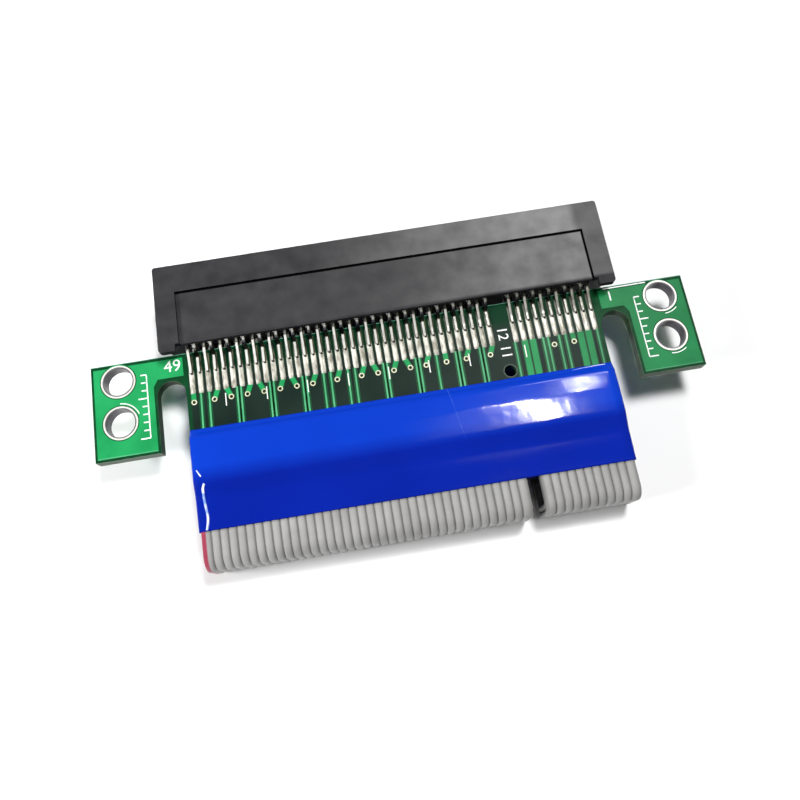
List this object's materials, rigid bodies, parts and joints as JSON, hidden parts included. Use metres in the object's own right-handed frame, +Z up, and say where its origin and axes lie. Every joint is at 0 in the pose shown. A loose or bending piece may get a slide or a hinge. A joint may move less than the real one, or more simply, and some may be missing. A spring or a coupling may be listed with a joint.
{
  "type": "flexible slot riser card",
  "caption": "Expansion-slot riser folded flat: a keyed card socket on a small eared board, ribbon cables taped at both ends, and a plug board with gold fingers.",
  "frame": {"origin": "middle of the footprint's bounding box, on the surface that the folded riser lies on", "axes": "+X along the slot towards contact 1, +Y out of the socket's mouth and the plug's finger edge, +Z up"},
  "size_m": [0.0744, 0.0374, 0.0097],
  "materials": {
    "solder_mask": "green solder mask over glass-epoxy laminate",
    "housing_black": "moulded, slightly mottled",
    "tinned_contact": "tin-plated copper alloy",
    "solder": "reflowed solder",
    "tinned_hole": "solder-plated copper",
    "ribbon_grey": "soft vinyl insulation",
    "blue_film": "glossy polyester film",
    "tinned_wire": "tinned copper wire",
    "gold_plate": "hard gold plate"
  },
  "bodies": {
    "root": {"slot_board": "solder_mask", "slot_housing": "housing_black", "contacts_a_upper": "tinned_contact", "contacts_a_lower": "tinned_contact", "contacts_b_upper": "tinned_contact", "contacts_b_lower": "tinned_contact", "solder_pads_a": "solder", "solder_pads_b": "solder", "plated_hole_left_far": "tinned_hole", "plated_hole_left_near": "tinned_hole", "plated_hole_right_far": "tinned_hole", "plated_hole_right_near": "tinned_hole", "ribbon_a_wide": "ribbon_grey", "ribbon_a_narrow": "ribbon_grey", "ribbon_b_wide": "ribbon_grey", "ribbon_b_narrow": "ribbon_grey", "slot_tape": "blue_film", "plug_tape": "blue_film", "slot_wire_ends_a": "tinned_wire", "slot_wire_ends_b": "tinned_wire", "plug_wire_ends_a": "tinned_wire", "plug_wire_ends_b": "tinned_wire", "plug_board": "solder_mask", "gold_fingers_a": "gold_plate", "gold_fingers_b": "gold_plate"}
  },
  "joints": []
}
